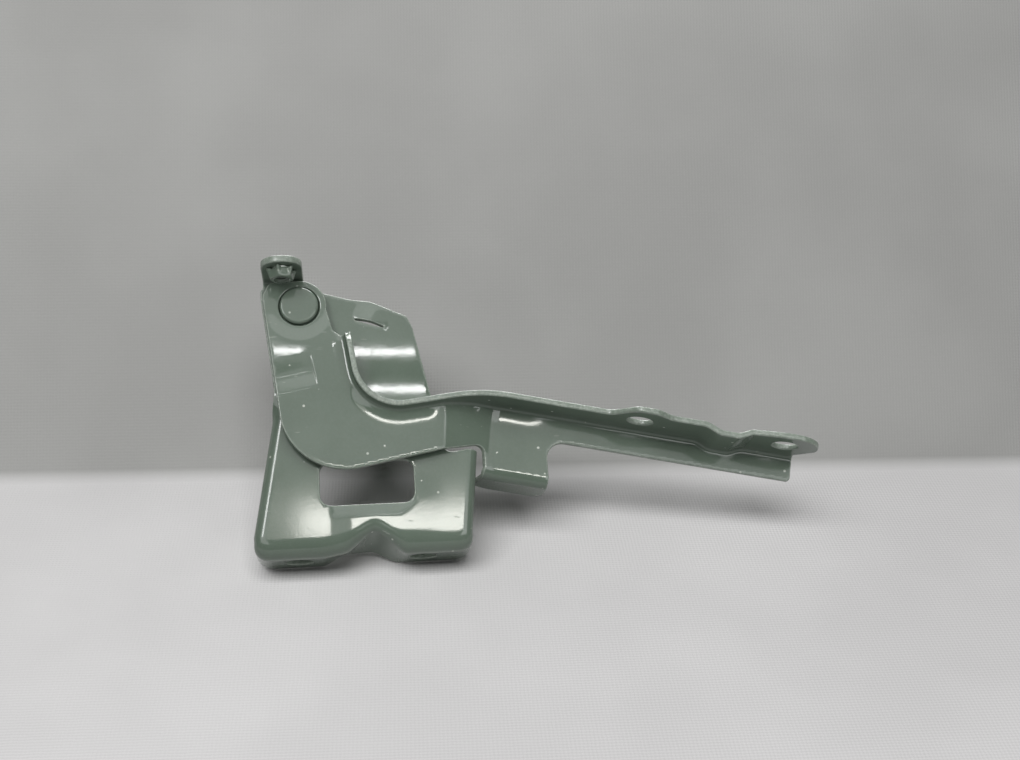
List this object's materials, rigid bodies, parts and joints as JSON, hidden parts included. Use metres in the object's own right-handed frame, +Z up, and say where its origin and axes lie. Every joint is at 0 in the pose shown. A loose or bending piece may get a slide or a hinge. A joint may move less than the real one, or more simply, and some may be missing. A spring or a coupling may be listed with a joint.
{
  "type": "bonnet hinge",
  "caption": "Gooseneck bonnet hinge: a pressed body bracket and a flanged bonnet arm that swings up on a riveted pivot, with a lanced stop and a weld nut under the top tab.",
  "frame": {"origin": "midway between the two body bolts, on the underside of the base flange", "axes": "+X along the arm towards the front of the bonnet, +Z up from the base flange, +Y from the arm towards the bracket's rear"},
  "size_m": [0.2418, 0.0505, 0.124],
  "materials": {
    "paint": "glossy dipped primer",
    "bronze": "plain bearing",
    "steel": "bright"
  },
  "bodies": {
    "bracket": {"body_bracket": "paint", "pivot_rivet": "paint", "thrust_washer": "steel", "tail_washer": "paint", "weld_nut": "paint"},
    "arm": {"bonnet_arm": "paint", "pivot_bush": "bronze"}
  },
  "joints": [
    {"name": "bonnet_pivot", "type": "hinge", "parent": "bracket", "child": "arm", "pos_m": [-0.0228, -0.0178, 0.108], "axis": [0, -1, 0], "range_deg": [0, 65.5]}
  ]
}
